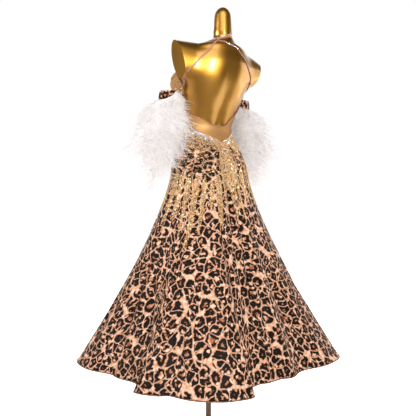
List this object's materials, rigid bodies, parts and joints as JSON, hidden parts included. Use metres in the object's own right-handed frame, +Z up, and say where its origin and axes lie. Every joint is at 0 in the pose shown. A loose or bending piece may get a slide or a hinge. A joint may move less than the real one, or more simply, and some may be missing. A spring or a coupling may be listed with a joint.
{
  "type": "ballroom dance dress on a dress form",
  "caption": "Floor-length halter ballroom dress with a low back, a flared folded skirt and feathered arm bands, standing on a limbless dress form.",
  "frame": {"origin": "the middle of the base's underside, on the floor, on the pole's axis", "axes": "+Z up; the wearer faces -Y, so the back is +Y and the wearer's left is +X"},
  "size_m": [0.9759, 0.9844, 1.7478],
  "materials": {
    "dark_steel": "satin",
    "gold_lacquer": "gloss",
    "printed_cloth": "satin",
    "nude_mesh": "matte",
    "satin": "satin",
    "stone_trim": "polished",
    "ostrich_feather": "matte"
  },
  "bodies": {
    "root": {"stand_base": "dark_steel", "stand_pole": "dark_steel", "form_torso": "gold_lacquer", "panel_back_left": "printed_cloth", "panel_side_left": "printed_cloth", "panel_front": "printed_cloth", "panel_side_right": "printed_cloth", "panel_back_right": "printed_cloth", "yoke_back_left": "nude_mesh", "yoke_back_right": "nude_mesh", "halter_front": "nude_mesh", "zip_centre_back": "satin", "binding_left": "satin", "binding_right": "satin", "strap_left": "satin", "strap_right": "satin", "neckband": "satin", "neckband_strand": "stone_trim", "nape_bar": "stone_trim", "arm_band_left": "printed_cloth", "arm_band_right": "printed_cloth", "feathers_left_upper": "ostrich_feather", "feathers_left_middle": "ostrich_feather", "feathers_left_lower": "ostrich_feather", "feathers_right_upper": "ostrich_feather", "feathers_right_middle": "ostrich_feather", "feathers_right_lower": "ostrich_feather"}
  },
  "joints": []
}
